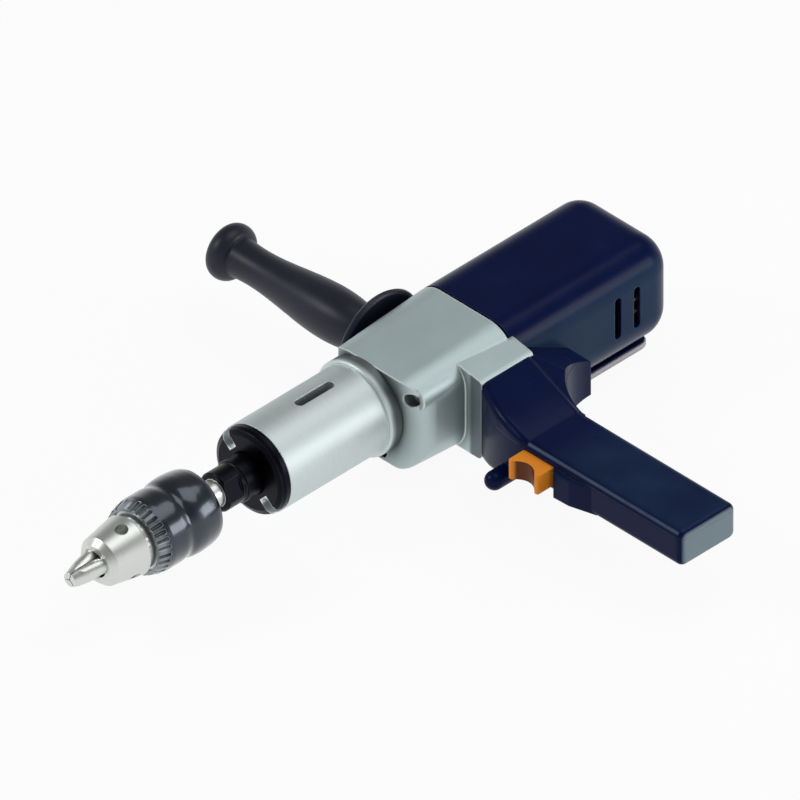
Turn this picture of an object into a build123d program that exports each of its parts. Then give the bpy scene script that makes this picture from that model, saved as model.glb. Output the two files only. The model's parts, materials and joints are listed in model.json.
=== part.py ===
from build123d import *
import math
import os

# Heavy two-handed drill, in millimetres
# The spindle turns about the Y axis, the chuck points to -Y, the grip to +X, up is +Z
# The origin is on the spindle axis, at the front edge of the aluminium neck

# Clearances
running_fit = 0.05
free_gap = 0.3
jaw_gap = 0.1
seat_gap = 0.02
thread_gap = 0.15

# Clamping neck and its drift slot
neck_radius = 28.5
neck_length = 88.0
neck_bore_radius = 20.0
shoulder_radius = 31.0
shoulder_length = 9.0
spigot_radius = 19.5
spigot_length = 8.0
ring_length = 7.0
ring_radius = 28.0
notch_width = 7.0
notch_depth_radius = 17.0
notch_angle = 137.0
slot_width = 6.5
slot_length = 30.0
slot_middle = 47.0

# Spindle, its bearings and its taper socket
nose_radius = 13.5
nose_front = -34.0
nose_step = -20.0
nose_front_radius = 12.5
flat_distance = 10.6
flat_angle = 25.0
front_bearing_bore = 12.5
front_bearing_outer = 23.5
front_bearing_width = 12.0
rear_bearing_bore = 10.0
rear_bearing_outer = 21.0
rear_bearing_width = 12.0
bearing_lip = 16.0
spindle_tail_radius = 6.0
tail_bush_wall = 2.5
taper_mouth_radius = 8.9
taper_length = 64.0
taper_slope = 0.025
tang_length = 9.0

# Gear train: a pinion on the motor shaft, a layshaft, a large gear on the spindle
gear_module = 1.0
spindle_teeth = 43
lay_pinion_teeth = 11
lay_gear_teeth = 30
motor_pinion_teeth = 8
tooth_share = 0.28
spindle_gear_width = 14.0
lay_gear_width = 11.0
lay_x = gear_module * (spindle_teeth + lay_pinion_teeth) / 2
motor_offset = lay_x - gear_module * (lay_gear_teeth + motor_pinion_teeth) / 2
lay_shaft_radius = 4.0
bush_radius = 6.0
bush_length = 8.0
bush_wall = 2.5

# Casing section, shared by the gear housing and the motor: flat sides, rounder below
casing_middle = 7.0
casing_width = 80.0
casing_top = 34.0
casing_bottom = -37.0
top_corner = 20.0
bottom_corner = 24.0

# Gear housing: the section grows from its front to its back by the draft
housing_length = 75.0
housing_draft = 4.0
housing_wall = 4.0
front_wall = 10.0
front_right_round = 17.0
front_left_round = 14.0
pad_stand = 11.0
pad_length = 42.0
pad_top = 25.0
pad_bottom = -30.0
pad_rise = 4.0
pad_slope = 22.0
pad_step = 4.0
pad_round = 3.0
corner_boss_radius = 8.0
corner_boss_inset = 5.0
corner_screw_radius = 3.0
corner_head_radius = 4.6
corner_head_length = 4.0
corner_column_radius = 6.5
corner_seat_depth = 12.0

# Motor
motor_length = 131.0
motor_corner = 17.0
motor_wall = 3.0
joint_groove = 1.3
stator_radius = 29.0
stator_bore = 18.5
cradle_wall = 2.5
cradle_rib = 4.0
slit_width = 5.0
slit_length = 29.0
slit_height = 1.0
slit_pitch = 15.4
slit_back = 31.6
foot_width = 52.0
foot_length = 85.0
foot_plate = 5.0
foot_bottom = -45.0
foot_inset = 4.0
foot_round = 6.0

# Main handle
grip_length = 126.0
grip_width = 45.0
grip_top = 14.0
grip_bottom = -10.5
grip_round = 5.0
grip_end_round = 4.5
root_top = 24.0
root_bottom = -30.0
root_length = 48.0
handle_wall = 3.5
seam_height = 9.6
web_length = 43.0
web_depth = 47.5
web_bottom = -28.0
web_back_top = 2.0
horn_radius = 6.0
horn_z = -16.0
trigger_width = 24.0
trigger_height = 13.0
trigger_z = 1.5
trigger_reach = 14.0
trigger_travel = 6.0

# Side handle
side_boss_radius = 15.0
side_boss_inner_radius = 9.0
side_boss_stand = 1.0
side_boss_depth = 20.0
stud_radius = 6.0
stud_depth = 17.0
stud_length = 62.0
guard_radius = 33.0
side_handle_length = 129.0

# Chuck
chuck_length = 118.0
chuck_gap = 16.0
sleeve_length = 50.0
sleeve_radius = 25.0
sleeve_bore = 22.6
sleeve_teeth = 30
nose_length = 31.0
jaw_tilt = 11.5
jaw_radius = 5.0
jaw_length = 42.0
jaw_tip_axis = 0.5
jaw_travel = 36.0
jaw_first_angle = 20.0
key_hole_radius = 4.0
key_hole_ahead = 13.0

# Places along the spindle axis
neck_back = neck_length
housing_back = neck_back + housing_length
motor_back = housing_back + motor_length
front_wall_back = neck_back + front_wall
rear_bearing_start = neck_back - 18
corner_head_seat = neck_back + corner_seat_depth
spindle_gear_start = front_wall_back + 8
spindle_gear_end = spindle_gear_start + spindle_gear_width
gear_plate_start = spindle_gear_end + 1.5
gear_plate_end = gear_plate_start + 5
lay_gear_start = gear_plate_end + 9.5
lay_gear_end = lay_gear_start + lay_gear_width
bearing_plate_start = housing_back - 10
stator_start = housing_back + 25
stator_end = stator_start + 52
commutator_start = stator_end + 16
commutator_end = commutator_start + 15
tail_bearing_start = motor_back - 13
handle_y = neck_back + 48
pad_front = housing_back + pad_step - pad_length
pad_back = housing_back + pad_step

side_axis = Axis((0, handle_y, 0), (1, 0, 0))
casing_height = casing_top - casing_bottom
casing_left = casing_middle - casing_width / 2
casing_right = casing_middle + casing_width / 2
pad_reach = casing_right + pad_stand
pad_inner = pad_reach - pad_slope
grip_end = pad_reach + root_length + grip_length
side_boss_end = casing_left - side_boss_stand
side_boss_inner_end = casing_left + side_boss_depth
stud_inner_end = casing_left + stud_depth


def across(y, x=0.0, z=0.0):
    # A plane square to the spindle: its x is X, its y is Z, and it faces -Y
    return Plane(origin=(x, y, z), x_dir=(1, 0, 0), z_dir=(0, -1, 0))


def turned(points, x=0.0, mode=Mode.ADD):
    # A body of revolution about a line parallel to Y, from (radius, y) points
    with BuildSketch(Plane(origin=(x, 0, 0))) as profile:
        with BuildLine():
            Polyline(*points, close=True)
        make_face()
    revolve(profile.sketch, axis=Axis((x, 0, 0), (0, 1, 0)), mode=mode)


def ring(inner, outer, start, end, x=0.0, mode=Mode.ADD):
    turned([(inner, start), (outer, start), (outer, end), (inner, end)], x, mode)


def rod(radius, start, end, x=0.0, z=0.0, mode=Mode.ADD):
    with BuildSketch(across(start, x, z)) as disc:
        Circle(radius)
    extrude(disc.sketch, amount=start - end, mode=mode)


def side_rod(radius, start, end, mode=Mode.ADD):
    # A round bar along the line of the side handle
    with BuildSketch(Plane.YZ.offset(start)) as disc:
        with Locations((handle_y, 0)):
            Circle(radius)
    extrude(disc.sketch, amount=end - start, mode=mode)


def post(radius, x, y, bottom, top, mode=Mode.ADD):
    with BuildSketch(Plane.XY.offset(bottom)) as disc:
        with Locations((x, y)):
            Circle(radius)
    extrude(disc.sketch, amount=top - bottom, mode=mode)


def toothed(teeth, phase, start, end, x, bore):
    # A spur gear with straight-sided teeth, thin enough to run free in mesh
    pitch = gear_module * teeth / 2
    root = pitch - 1.2 * gear_module
    tip = pitch + 0.6 * gear_module
    half_base = tooth_share * math.pi * gear_module * 0.95
    half_tip = 0.45 * half_base
    with BuildSketch(across(start, x)) as outline:
        Circle(root + 0.1)
        with PolarLocations(0, teeth, start_angle=phase):
            Polygon((root - 0.3, -half_base), (tip, -half_tip), (tip, half_tip), (root - 0.3, half_base),
                    align=None)
        if bore:
            Circle(bore, mode=Mode.SUBTRACT)
    extrude(outline.sketch, amount=start - end)


def casing_section(y, inset):
    with BuildSketch(across(y, casing_middle)) as section:
        with Locations((0, (casing_top + casing_bottom) / 2)):
            Rectangle(casing_width - 2 * inset, casing_height - 2 * inset)
        fillet(section.vertices().sort_by(Axis.Y)[:2], bottom_corner - inset)
        fillet(section.vertices().sort_by(Axis.Y)[-2:], top_corner - inset)
    return section.sketch


def housing_form(inset, start, mode=Mode.ADD):
    # The gear housing grows evenly towards the section of the motor
    share = (housing_back - start) / housing_length
    front = casing_section(start, inset + housing_draft * share)
    loft([front, casing_section(housing_back, inset)], mode=mode)


def pad_space(inset, mode=Mode.ADD):
    # The square side of the gear housing that carries the main handle
    with BuildSketch(across(pad_front + inset)) as face:
        Polygon((lay_x, pad_bottom + inset), (pad_reach - inset, pad_bottom + inset),
                (pad_reach - inset, pad_top - inset), (pad_inner, pad_top + pad_rise - inset),
                (lay_x, pad_top + pad_rise - inset), align=None)
        fillet(face.vertices().sort_by(Axis.X)[-2:], pad_round)
    extrude(face.sketch, amount=2 * inset - pad_length, mode=mode)


def finish(part, name):
    part.label = name
    export_step(part, f"parts/{name}.step")


os.makedirs("parts", exist_ok=True)

# Neck: a turned sleeve with a slot through it for the taper drift
with BuildPart() as neck_sleeve:
    shoulder_start = neck_back - shoulder_length
    turned([
        (neck_bore_radius, front_bearing_width + 1),
        (front_bearing_outer, front_bearing_width + 1),
        (front_bearing_outer, 0),
        (neck_radius, 0),
        (neck_radius, shoulder_start),
        (shoulder_radius - 1, shoulder_start),
        (shoulder_radius, shoulder_start + 1),
        (shoulder_radius, neck_back),
        (spigot_radius - seat_gap, neck_back),
        (spigot_radius - seat_gap, neck_back + spigot_length),
        (bearing_lip, neck_back + spigot_length),
        (bearing_lip, rear_bearing_start + rear_bearing_width),
        (rear_bearing_outer, rear_bearing_start + rear_bearing_width),
        (rear_bearing_outer, rear_bearing_start),
        (neck_bore_radius, rear_bearing_start),
    ])
    with BuildSketch(Plane.XY.offset(-neck_radius - 1)):
        with Locations((0, slot_middle)):
            SlotOverall(slot_length, slot_width, rotation=90)
    extrude(amount=2 * neck_radius + 2, mode=Mode.SUBTRACT)
finish(neck_sleeve.part, "neck_sleeve")

# Ring that holds the front bearing in, with two open notches for a spanner
with BuildPart() as front_ring:
    ring_bore = nose_radius + free_gap
    turned([
        (ring_bore, -ring_length),
        (ring_radius - 4, -ring_length),
        (ring_radius - 1, -ring_length + 1.5),
        (ring_radius, -ring_length + 4),
        (ring_radius, -seat_gap),
        (front_bearing_outer - seat_gap, -seat_gap),
        (front_bearing_outer - seat_gap, 1 - seat_gap),
        (front_bearing_outer - 4, 1 - seat_gap),
        (front_bearing_outer - 4, -2),
        (ring_bore, -2),
    ])
    notch_middle = notch_depth_radius + notch_width / 2
    with BuildSketch(across(-ring_length)):
        with PolarLocations(notch_middle, 2, start_angle=notch_angle):
            Circle(notch_width / 2)
        with PolarLocations(notch_middle + ring_radius / 2, 2, start_angle=notch_angle):
            Rectangle(ring_radius, notch_width)
    extrude(amount=-ring_length - 1, mode=Mode.SUBTRACT)
finish(front_ring.part, "front_ring")

# Ball bearings and plain bushes, each one ring
with BuildPart() as front_bearing:
    ring(front_bearing_bore + running_fit, front_bearing_outer, 1, 1 + front_bearing_width)
finish(front_bearing.part, "front_bearing")

with BuildPart() as rear_bearing:
    ring(rear_bearing_bore + running_fit, rear_bearing_outer, rear_bearing_start,
         rear_bearing_start + rear_bearing_width)
finish(rear_bearing.part, "rear_bearing")

with BuildPart() as spindle_tail_bush:
    ring(spindle_tail_radius + running_fit, spindle_tail_radius + tail_bush_wall,
         gear_plate_start, gear_plate_end)
finish(spindle_tail_bush.part, "spindle_tail_bush")

lay_bush_start = neck_back + 7
with BuildPart() as lay_front_bush:
    ring(lay_shaft_radius + running_fit, bush_radius, lay_bush_start, lay_bush_start + bush_length, lay_x)
finish(lay_front_bush.part, "layshaft_front_bush")

with BuildPart() as lay_rear_bush:
    ring(lay_shaft_radius + running_fit, bush_radius, bearing_plate_start,
         bearing_plate_start + bush_length, lay_x)
finish(lay_rear_bush.part, "layshaft_rear_bush")

armature_bearing_outer = 13.0
armature_bearing_bore = 5.0
armature_bearing_width = 8.0
with BuildPart() as armature_front_bearing:
    ring(armature_bearing_bore + running_fit, armature_bearing_outer,
         housing_back - armature_bearing_width, housing_back, motor_offset)
finish(armature_front_bearing.part, "armature_front_bearing")

tail_bearing_outer = 11.0
tail_bearing_bore = 4.0
tail_bearing_width = 7.0
tail_seat_wall = 4.0
with BuildPart() as armature_tail_bearing:
    ring(tail_bearing_bore + running_fit, tail_bearing_outer, tail_bearing_start,
         tail_bearing_start + tail_bearing_width, motor_offset)
finish(armature_tail_bearing.part, "armature_rear_bearing")

# Gear housing: one casting with the handle pad, side handle boss and screw columns
front_left = casing_left + housing_draft
front_right = casing_right - housing_draft
front_bottom = casing_bottom + housing_draft
corner_screws = [
    (front_right - 7.5, casing_top - housing_draft - 11),
    (casing_middle + 6.5, front_bottom + 6),
    (front_left + 9, front_bottom + 10),
]
with BuildPart() as gear_housing:
    housing_form(0, neck_back)
    # The upright front corners are rounded, the one at the grip most
    with BuildSketch(Plane.XY.offset(2 * casing_bottom)) as plan:
        Polygon((front_left - running_fit, neck_back), (front_right + running_fit, neck_back),
                (casing_right + running_fit, housing_back), (casing_left - running_fit, housing_back),
                align=None)
        fillet(plan.vertices().group_by(Axis.Y)[0].sort_by(Axis.X)[-1], front_right_round)
        fillet(plan.vertices().group_by(Axis.Y)[0].sort_by(Axis.X)[0], front_left_round)
    extrude(amount=4 * casing_height, mode=Mode.INTERSECT)
    pad_space(0)
    side_rod(side_boss_radius, side_boss_end, stud_inner_end)
    rod(corner_boss_radius, neck_back + corner_boss_inset, gear_plate_start, *corner_screws[0])
    # The gear space, open to the motor
    housing_form(housing_wall, front_wall_back, mode=Mode.SUBTRACT)
    pad_space(housing_wall, mode=Mode.SUBTRACT)
    # The boss that carries the front end of the layshaft
    rod(bush_radius + bush_wall, lay_bush_start - 2, lay_bush_start + bush_length, lay_x)
    rod(bush_radius, lay_bush_start, lay_bush_start + bush_length, lay_x, mode=Mode.SUBTRACT)
    rod(spigot_radius, neck_back - 2, front_wall_back + 1, mode=Mode.SUBTRACT)
    # Inner end of the side handle boss, with the stud hole in it
    side_rod(side_boss_inner_radius, casing_left + housing_wall, side_boss_inner_end)
    side_rod(stud_radius + seat_gap, side_boss_end, stud_inner_end + free_gap, mode=Mode.SUBTRACT)
    for x, z in corner_screws:
        rod(corner_column_radius, front_wall_back - 1, gear_plate_start, x, z)
        rod(corner_screw_radius, neck_back - 2, gear_plate_end, x, z, mode=Mode.SUBTRACT)
        rod(corner_head_radius, neck_back - 2, corner_head_seat, x, z, mode=Mode.SUBTRACT)
    # The motor passes behind the pad
    extrude(casing_section(housing_back, 0), amount=-pad_step - 1, mode=Mode.SUBTRACT)
finish(gear_housing.part, "gear_housing")

# Screws that draw the gear plate against the columns of the housing
hex_recess_radius = 2.5
hex_recess_depth = 2.5
with BuildPart() as corner_screw_set:
    for x, z in corner_screws:
        rod(corner_head_radius - seat_gap, corner_head_seat - corner_head_length, corner_head_seat, x, z)
        rod(corner_screw_radius - seat_gap, corner_head_seat, gear_plate_end, x, z)
        with BuildSketch(across(corner_head_seat - corner_head_length, x, z)):
            RegularPolygon(hex_recess_radius, 6)
        extrude(amount=-hex_recess_depth, mode=Mode.SUBTRACT)
finish(corner_screw_set.part, "corner_screws")

# Plates across the gear space
with BuildPart() as gear_plate:
    housing_form(housing_wall, front_wall_back)
    with BuildSketch(across(gear_plate_start, casing_middle)):
        Rectangle(2 * casing_width, 2 * casing_width)
    extrude(amount=gear_plate_start - gear_plate_end, mode=Mode.INTERSECT)
    rod(spindle_tail_radius + tail_bush_wall, gear_plate_start - 1, gear_plate_end + 1, mode=Mode.SUBTRACT)
    rod(lay_shaft_radius + 4, gear_plate_start - 1, gear_plate_end + 1, lay_x, mode=Mode.SUBTRACT)
    for x, z in corner_screws:
        rod(corner_screw_radius, gear_plate_start - 1, gear_plate_end + 1, x, z, mode=Mode.SUBTRACT)
finish(gear_plate.part, "gear_plate")

with BuildPart() as bearing_plate:
    housing_form(housing_wall, front_wall_back)
    with BuildSketch(across(bearing_plate_start, casing_middle)):
        Rectangle(2 * casing_width, 2 * casing_width)
    extrude(amount=bearing_plate_start - housing_back, mode=Mode.INTERSECT)
    rod(armature_bearing_outer, housing_back - armature_bearing_width, housing_back + 1, motor_offset,
        mode=Mode.SUBTRACT)
    rod(armature_bearing_bore + 1.5, bearing_plate_start - 1, housing_back, motor_offset, mode=Mode.SUBTRACT)
    rod(bush_radius, bearing_plate_start - 1, bearing_plate_start + bush_length, lay_x, mode=Mode.SUBTRACT)
finish(bearing_plate.part, "bearing_plate")

# Motor housing: a moulded cup with a rounded back, upright air slits and a foot plate
with BuildPart() as motor_housing:
    extrude(casing_section(housing_back, joint_groove), amount=-2 * joint_groove)
    extrude(casing_section(housing_back + joint_groove, 0), amount=joint_groove - motor_length)
    fillet(motor_housing.edges().group_by(Axis.Y)[-1], motor_corner)
    foot_middle = (motor_offset, motor_back - 9 - foot_length / 2)
    with BuildSketch(Plane.XY.offset(foot_bottom)):
        with Locations(foot_middle):
            RectangleRounded(foot_width, foot_length, foot_round)
    extrude(amount=foot_plate)
    with BuildSketch(Plane.XY.offset(foot_bottom)):
        with Locations(foot_middle):
            RectangleRounded(foot_width - 2 * foot_inset, foot_length - 2 * foot_inset, foot_round)
    extrude(amount=casing_bottom - foot_bottom + motor_wall / 2)
    # The motor space, narrower behind so that the rounded back keeps its wall
    extrude(casing_section(housing_back, motor_wall), amount=motor_corner - motor_length, mode=Mode.SUBTRACT)
    extrude(casing_section(motor_back - motor_corner - 1, motor_corner - 3), amount=5 - motor_corner,
            mode=Mode.SUBTRACT)
    # A round cradle on ribs holds the field core
    with BuildSketch(across(stator_start, motor_offset)):
        Circle(stator_radius + cradle_wall)
        Rectangle(casing_width - motor_wall, cradle_rib)
        with Locations((0, (casing_bottom + 1) / 2)):
            Rectangle(cradle_rib, -casing_bottom - 1)
        Circle(stator_radius, mode=Mode.SUBTRACT)
    extrude(amount=stator_start - stator_end)
    # The seat of the rear bearing stands in from the back wall
    ring(tail_bearing_outer, tail_bearing_outer + tail_seat_wall, tail_bearing_start, motor_back - 2,
         motor_offset)
    for index in range(2):
        with BuildSketch(Plane.YZ.offset(casing_left - 1)):
            with Locations((motor_back - slit_back - index * slit_pitch, slit_height)):
                SlotOverall(slit_length, slit_width, rotation=90)
        extrude(amount=casing_width + 2, mode=Mode.SUBTRACT)
finish(motor_housing.part, "motor_housing")

# Motor: field core and coils, armature, commutator, fan and brushes
coil_length = 8.0
with BuildPart() as stator:
    ring(stator_bore, stator_radius - seat_gap, stator_start, stator_end, motor_offset)
finish(stator.part, "stator")

with BuildPart() as field_coils:
    ring(stator_bore + 2, stator_radius - 4, stator_start - coil_length, stator_start, motor_offset)
    ring(stator_bore + 2, stator_radius - 4, stator_end, stator_end + coil_length, motor_offset)
finish(field_coils.part, "field_coils")

shaft_core_radius = 6.0
pinion_start = lay_gear_start - 2
with BuildPart() as armature_shaft:
    toothed(motor_pinion_teeth, 180 / motor_pinion_teeth, pinion_start, bearing_plate_start - 1,
            motor_offset, 0)
    rod(armature_bearing_bore, bearing_plate_start - 1, housing_back + 1, motor_offset)
    rod(shaft_core_radius, housing_back + 1, tail_bearing_start - 1, motor_offset)
    rod(tail_bearing_bore, tail_bearing_start - 1, tail_bearing_start + tail_bearing_width, motor_offset)
finish(armature_shaft.part, "armature_shaft")

core_radius = stator_bore - 0.6
winding_length = 7.0
with BuildPart() as armature_core:
    ring(shaft_core_radius, core_radius, stator_start + 2, stator_end - 2, motor_offset)
finish(armature_core.part, "armature_core")

with BuildPart() as armature_windings:
    ring(shaft_core_radius, core_radius - 3, stator_start - winding_length, stator_start + 2, motor_offset)
    ring(shaft_core_radius, core_radius - 3, stator_end - 2, stator_end + winding_length, motor_offset)
finish(armature_windings.part, "armature_windings")

commutator_radius = 11.5
with BuildPart() as commutator:
    ring(shaft_core_radius, commutator_radius, commutator_start, commutator_end, motor_offset)
finish(commutator.part, "commutator")

fan_radius = 28.5
fan_hub_radius = 11.0
fan_start = housing_back + 3
fan_length = 11.0
fan_disc = 2.5
fan_blades = 9
with BuildPart() as fan:
    ring(shaft_core_radius, fan_hub_radius, fan_start, fan_start + fan_length, motor_offset)
    ring(shaft_core_radius, fan_radius, fan_start + fan_length - fan_disc, fan_start + fan_length,
         motor_offset)
    with BuildSketch(across(fan_start, motor_offset)):
        with PolarLocations((fan_radius + fan_hub_radius) / 2 - 1, fan_blades):
            Rectangle(fan_radius - fan_hub_radius, 2, rotation=12)
    extrude(amount=fan_disc / 2 - fan_length)
finish(fan.part, "fan")

brush_width = 6.3
brush_length = 11.0
brush_wall = 2.0
brush_reach = 15.0
commutator_middle = (commutator_start + commutator_end) / 2
with BuildPart() as brush_holders:
    for direction in (1, -1):
        holder_start = motor_offset + direction * (commutator_radius + 3)
        holder_end = casing_middle + direction * (casing_width / 2 - motor_wall - seat_gap)
        with BuildSketch(Plane.YZ.offset(holder_start)):
            with Locations((commutator_middle, 0)):
                Rectangle(brush_length + 2 * brush_wall, brush_width + 2 * brush_wall)
                Rectangle(brush_length, brush_width, mode=Mode.SUBTRACT)
        extrude(amount=holder_end - holder_start)
finish(brush_holders.part, "brush_holders")

with BuildPart() as carbon_brushes:
    for direction in (1, -1):
        with BuildSketch(Plane.YZ.offset(motor_offset + direction * (commutator_radius + free_gap))):
            with Locations((commutator_middle, 0)):
                Rectangle(brush_length - 2 * seat_gap, brush_width - 2 * seat_gap)
        extrude(amount=direction * brush_reach)
finish(carbon_brushes.part, "carbon_brushes")

# Layshaft with its pinion, and the gear that the motor drives
with BuildPart() as layshaft:
    toothed(lay_pinion_teeth, 180 + 180 / lay_pinion_teeth, spindle_gear_start - 1, spindle_gear_end + 1,
            lay_x, 0)
    rod(lay_shaft_radius, lay_bush_start + free_gap, bearing_plate_start + bush_length - free_gap, lay_x)
    rod(lay_shaft_radius + 1, lay_gear_start - 4, lay_gear_end + 3, lay_x)
finish(layshaft.part, "layshaft")

with BuildPart() as layshaft_gear:
    toothed(lay_gear_teeth, 180, lay_gear_start, lay_gear_end, lay_x, lay_shaft_radius + 1)
finish(layshaft_gear.part, "layshaft_gear")

# Spindle with a taper socket, a cross slot for the drift and two spanner flats
taper_end = nose_front + taper_length
taper_end_radius = taper_mouth_radius - taper_slope * taper_length
slot_end = slot_middle + slot_length / 2
with BuildPart() as spindle:
    turned([
        (taper_mouth_radius, nose_front),
        (nose_front_radius - 1, nose_front),
        (nose_front_radius, nose_front + 1),
        (nose_front_radius, nose_step),
        (nose_radius - 0.6, nose_step),
        (nose_radius, nose_step + 1),
        (nose_radius, 0.5),
        (front_bearing_bore, 0.5),
        (front_bearing_bore, front_bearing_width + 3),
        (front_bearing_bore - 0.5, front_bearing_width + 3),
        (front_bearing_bore - 0.5, slot_end + 3),
        (rear_bearing_bore, slot_end + 3),
        (rear_bearing_bore, spindle_gear_end),
        (spindle_tail_radius, spindle_gear_end),
        (spindle_tail_radius, gear_plate_end),
        (0, gear_plate_end),
        (0, slot_end),
        (taper_end_radius, slot_end),
        (taper_end_radius, taper_end),
    ])
    with BuildSketch(Plane.XY.offset(-nose_radius)):
        with Locations((0, slot_middle)):
            SlotOverall(slot_length, slot_width, rotation=90)
    extrude(amount=2 * nose_radius, mode=Mode.SUBTRACT)
    with BuildSketch(across(nose_front)):
        with PolarLocations(flat_distance + nose_radius / 2, 2, start_angle=flat_angle):
            Rectangle(nose_radius, 2 * nose_radius)
    extrude(amount=nose_front + 2 - nose_step, mode=Mode.SUBTRACT)
finish(spindle.part, "spindle")

with BuildPart() as spindle_gear:
    toothed(spindle_teeth, 0, spindle_gear_start, spindle_gear_end, 0, rear_bearing_bore)
finish(spindle_gear.part, "spindle_gear")

# Arbor: one taper sits in the spindle and ends in a tang, the other carries the chuck
chuck_tip = nose_front - chuck_length
sleeve_rear = nose_front - chuck_gap
sleeve_front = sleeve_rear - sleeve_length
chuck_back = sleeve_rear - 2
chuck_nose_front = sleeve_front - nose_length
socket_radius = 9.0
socket_depth = 32.0
socket_end = chuck_back - socket_depth
arbor_neck_radius = 8.6
with BuildPart() as chuck_arbor:
    turned([
        (0, socket_end + 1),
        (socket_radius - taper_slope * (socket_depth - 1) - seat_gap, socket_end + 1),
        (socket_radius - seat_gap, chuck_back),
        (arbor_neck_radius, chuck_back),
        (arbor_neck_radius, nose_front),
        (taper_mouth_radius - seat_gap, nose_front),
        (taper_end_radius - seat_gap, taper_end),
        (0, taper_end),
    ])
    with BuildSketch(across(taper_end)):
        RectangleRounded(slot_width - 2 * free_gap, 2 * taper_end_radius - 2, 1)
    extrude(amount=-tang_length)
finish(chuck_arbor.part, "chuck_arbor")

# Chuck: a body with three slanting bores, a toothed sleeve with its nut, and three jaws
slant = math.tan(math.radians(jaw_tilt))
lip_length = 9.0
lip_radius = 19.2
neck_groove_radius = 17.4
nut_front = sleeve_front + lip_length + free_gap
nut_length = 11.0
nut_back = nut_front + nut_length
body_radius = sleeve_bore - 2 * running_fit
drill_bore_radius = 8.3
drill_bore_end = socket_end - 6
jaw_angles = [jaw_first_angle, jaw_first_angle + 120, jaw_first_angle + 240]


def jaw_reach(y):
    # How far the outer side of a jaw is from the chuck axis
    return jaw_tip_axis + (y - chuck_tip) * slant + jaw_radius / math.cos(math.radians(jaw_tilt))


def jaw_plane(angle, before=0.0):
    # A plane across a jaw, at its tip or a little ahead of it, facing along the jaw
    turn = math.radians(angle)
    tilt = math.radians(jaw_tilt)
    along = Vector(math.sin(tilt) * math.cos(turn), math.cos(tilt), math.sin(tilt) * math.sin(turn))
    tip = Vector(jaw_tip_axis * math.cos(turn), chuck_tip, jaw_tip_axis * math.sin(turn))
    return Plane(origin=tip - along * before, z_dir=along)


with BuildPart() as chuck_body:
    turned([
        (drill_bore_radius, chuck_nose_front),
        (12, chuck_nose_front),
        (15.5, chuck_nose_front + 4),
        (lip_radius, sleeve_front - 5),
        (neck_groove_radius, sleeve_front - 3.5),
        (neck_groove_radius, sleeve_front + 2),
        (lip_radius, sleeve_front + 2),
        (lip_radius, sleeve_front + lip_length - free_gap),
        (jaw_reach(nut_front) - thread_gap, sleeve_front + lip_length - free_gap),
        (jaw_reach(nut_back) - thread_gap, nut_back + free_gap),
        (body_radius, nut_back + free_gap),
        (body_radius, chuck_back - 4),
        (body_radius - 2.5, chuck_back),
        (socket_radius, chuck_back),
        (socket_radius - taper_slope * socket_depth, socket_end),
        (0, socket_end),
        (0, drill_bore_end),
        (drill_bore_radius, drill_bore_end),
    ])
    for angle in jaw_angles:
        with BuildSketch(jaw_plane(angle)):
            Circle(jaw_radius + jaw_gap)
        extrude(amount=jaw_length + jaw_travel + 1, mode=Mode.SUBTRACT)
    # Pilot holes for the chuck key, between the jaws and ahead of the teeth
    for angle in jaw_angles:
        turn = math.radians(angle + 60)
        outward = Vector(math.cos(turn), 0, math.sin(turn))
        key_place = Vector(0, sleeve_front - key_hole_ahead, 0) + outward * (drill_bore_radius + 2)
        with BuildSketch(Plane(origin=key_place, z_dir=outward)):
            Circle(key_hole_radius)
        extrude(amount=lip_radius, mode=Mode.SUBTRACT)
finish(chuck_body.part, "chuck_body")

teeth_foot = (lip_radius + 2.4, sleeve_front)
teeth_top = (sleeve_radius - 1.5, sleeve_front + 6.5)
tooth_cut = 1.5
with BuildPart() as chuck_sleeve:
    turned([
        (lip_radius + jaw_gap, sleeve_front),
        teeth_foot,
        teeth_top,
        (sleeve_radius - 1.5, sleeve_front + 10),
        (sleeve_radius - 0.6, sleeve_front + 11),
        (sleeve_radius - 0.1, sleeve_front + 13.5),
        (sleeve_radius, sleeve_front + 18),
        (sleeve_radius, sleeve_rear - 13),
        (sleeve_radius - 0.3, sleeve_rear - 8),
        (sleeve_radius - 0.9, sleeve_rear - 3.5),
        (sleeve_radius - 1.7, sleeve_rear - 1),
        (sleeve_bore + 0.2, sleeve_rear),
        (sleeve_bore, sleeve_rear),
        (sleeve_bore, sleeve_front + lip_length),
        (lip_radius + jaw_gap, sleeve_front + lip_length),
    ])
    slope = Vector(teeth_top[0] - teeth_foot[0], teeth_top[1] - teeth_foot[1], 0)
    for index in range(sleeve_teeth):
        turn = math.radians(index * 360 / sleeve_teeth)
        along = Vector(slope.X * math.cos(turn), slope.Y, slope.X * math.sin(turn)).normalized()
        tangent = Vector(-math.sin(turn), 0, math.cos(turn))
        foot = Vector(teeth_foot[0] * math.cos(turn), sleeve_front, teeth_foot[0] * math.sin(turn))
        with BuildSketch(Plane(origin=foot - along * 2, x_dir=tangent, z_dir=along)):
            RegularPolygon(tooth_cut, 4)
        extrude(amount=slope.length + 3, mode=Mode.SUBTRACT)
finish(chuck_sleeve.part, "chuck_sleeve")

with BuildPart() as chuck_nut:
    turned([
        (jaw_reach(nut_front) + thread_gap, nut_front),
        (sleeve_bore, nut_front),
        (sleeve_bore, nut_back),
        (jaw_reach(nut_back) + thread_gap, nut_back),
    ])
finish(chuck_nut.part, "chuck_nut")

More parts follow.
